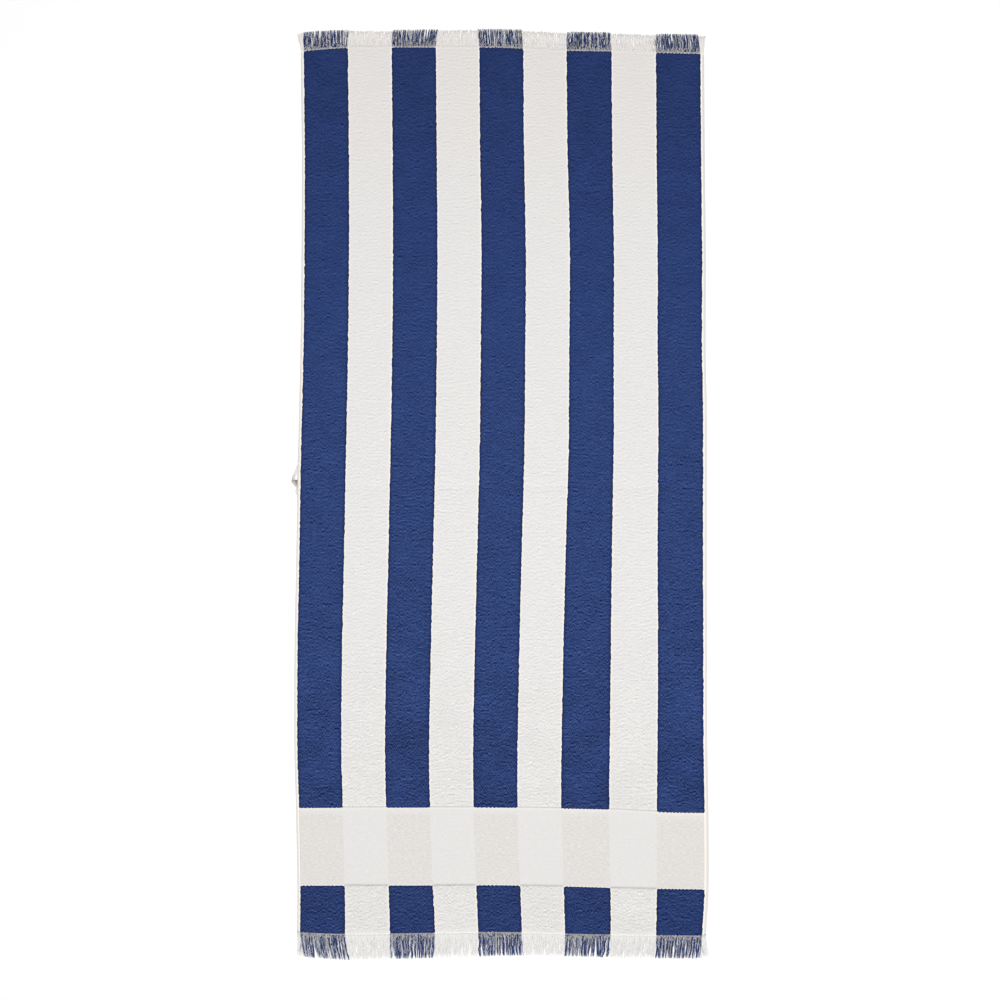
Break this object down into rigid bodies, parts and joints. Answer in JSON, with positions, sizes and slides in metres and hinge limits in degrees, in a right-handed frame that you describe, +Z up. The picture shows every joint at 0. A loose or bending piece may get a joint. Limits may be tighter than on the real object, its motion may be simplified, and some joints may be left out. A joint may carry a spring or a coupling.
{
  "type": "beach towel",
  "caption": "Rectangular terry towel with lengthwise stripes, a flat-woven border near one end, fringed short sides and a small hanging loop at one long edge, lying flat.",
  "frame": {"origin": "on the underside, on the cloth's middle line at half its overall length", "axes": "+X across the width, away from the hanging loop; +Y along the length, away from the border; +Z up, out of the shown face"},
  "size_m": [0.7648, 1.7028, 0.0051],
  "materials": {
    "terry_navy": "cut-free cotton terry, navy stripes",
    "terry_white": "cut-free cotton terry, white stripes",
    "flat_weave": "plain cotton weave of the border and selvedges",
    "fringe": "loose cotton warp ends, navy and cream or white",
    "tape": "woven cotton tape"
  },
  "bodies": {
    "root": {"towel_body": "terry_navy", "fringe_top": "fringe", "fringe_bottom": "fringe", "hanging_loop": "tape"}
  },
  "joints": []
}
